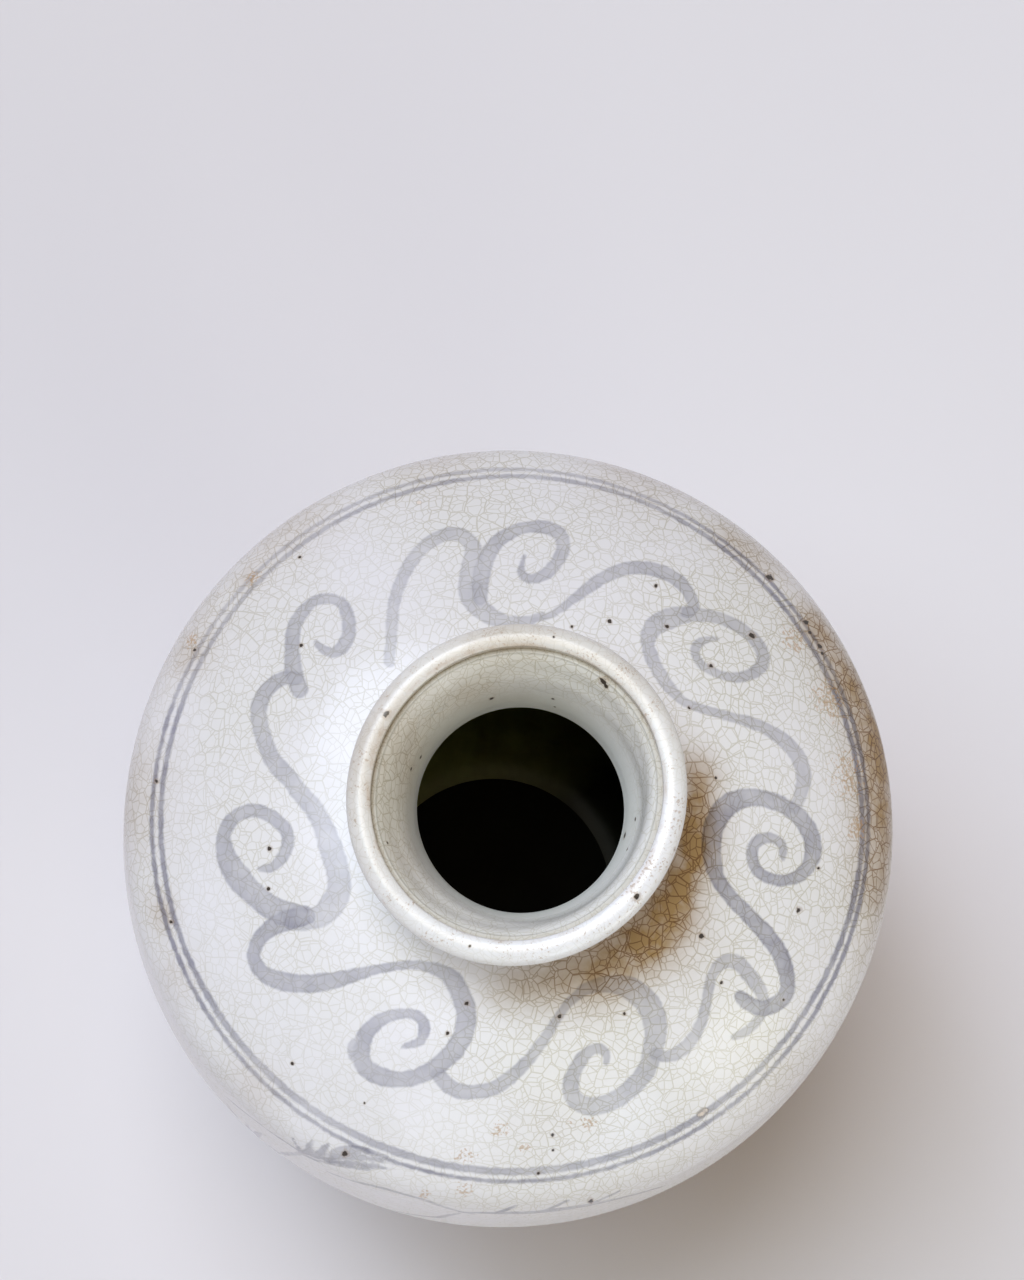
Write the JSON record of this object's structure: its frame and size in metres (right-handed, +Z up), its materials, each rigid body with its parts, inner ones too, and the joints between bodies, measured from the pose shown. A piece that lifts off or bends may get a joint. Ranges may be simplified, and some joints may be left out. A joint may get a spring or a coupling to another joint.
{
  "type": "vase",
  "caption": "Tall broad-shouldered porcelain jar on a foot ring, with a short flared neck, a rolled mouth and white crackle glaze with blue-grey brush painting.",
  "frame": {"origin": "centre of the foot ring, in the plane that the jar stands on", "axes": "+Z up along the jar's axis; -Y is the side nearest the viewer in the picture"},
  "size_m": [0.233, 0.233, 0.3],
  "materials": {
    "glazed_wall": "gloss",
    "glazed_rim": "gloss",
    "foot_clay": "matte",
    "joint_slip": "matte"
  },
  "bodies": {
    "root": {"foot_ring": "foot_clay", "foot_seam": "joint_slip", "lower_body": "glazed_wall", "lower_seam": "joint_slip", "middle_body": "glazed_wall", "upper_seam": "joint_slip", "shoulder": "glazed_wall", "neck_seam": "joint_slip", "neck": "glazed_wall", "rim_seam": "joint_slip", "mouth_rim": "glazed_rim"}
  },
  "joints": []
}
